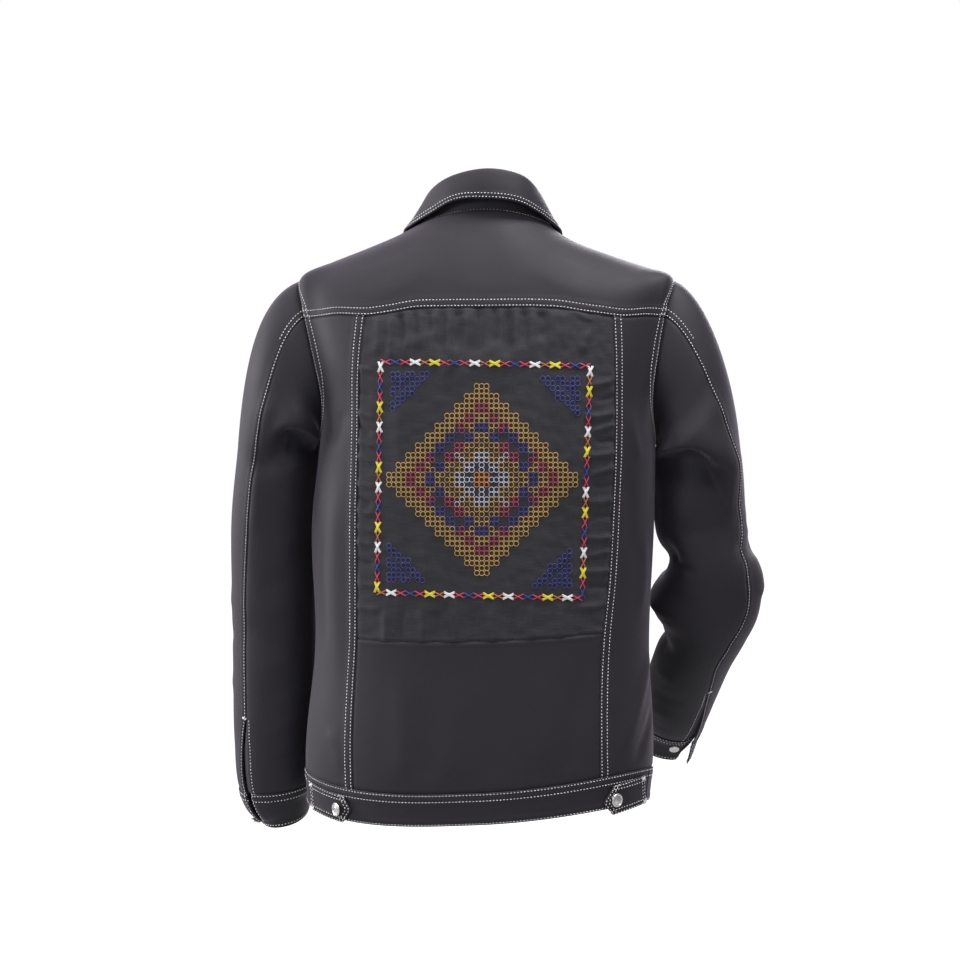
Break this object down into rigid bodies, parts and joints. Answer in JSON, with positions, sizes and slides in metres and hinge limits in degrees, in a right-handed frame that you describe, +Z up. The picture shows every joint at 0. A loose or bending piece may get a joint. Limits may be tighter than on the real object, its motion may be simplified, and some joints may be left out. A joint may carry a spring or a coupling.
{
  "type": "worn trucker jacket",
  "caption": "Long-sleeved trucker jacket in its worn shape: back yoke, turned-down collar, buttoned front, waistband with side tabs and open cuffs.",
  "frame": {"origin": "centre of the neck opening, level with the neck seam at the centre back", "axes": "+Z up, -Y the way the wearer faces, +X to the wearer's left"},
  "size_m": [0.6173, 0.3365, 0.7667],
  "materials": {
    "knit_cloth": "smooth charcoal double knit with a soft sheen",
    "woven_cloth": "slubbed black plain weave with coloured embroidery",
    "button_metal": "satin grey metal"
  },
  "bodies": {
    "root": {"back_yoke": "knit_cloth", "back_centre_upper": "woven_cloth", "back_centre_lower": "knit_cloth", "side_back_left": "knit_cloth", "side_back_right": "knit_cloth", "front_left": "knit_cloth", "front_right": "knit_cloth", "front_placket": "knit_cloth", "waistband_back": "knit_cloth", "waistband_front_left": "knit_cloth", "waistband_front_right": "knit_cloth", "side_tab_left": "knit_cloth", "side_tab_right": "knit_cloth", "collar": "knit_cloth", "sleeve_under_left": "knit_cloth", "sleeve_upper_left": "knit_cloth", "sleeve_under_right": "knit_cloth", "sleeve_upper_right": "knit_cloth", "cuff_left": "knit_cloth", "cuff_right": "knit_cloth", "tab_button_left": "button_metal", "tab_button_right": "button_metal", "front_button_1": "button_metal", "front_button_2": "button_metal", "front_button_3": "button_metal", "front_button_4": "button_metal", "front_button_5": "button_metal", "waistband_button": "button_metal", "cuff_button_left": "button_metal", "cuff_button_right": "button_metal"}
  },
  "joints": []
}
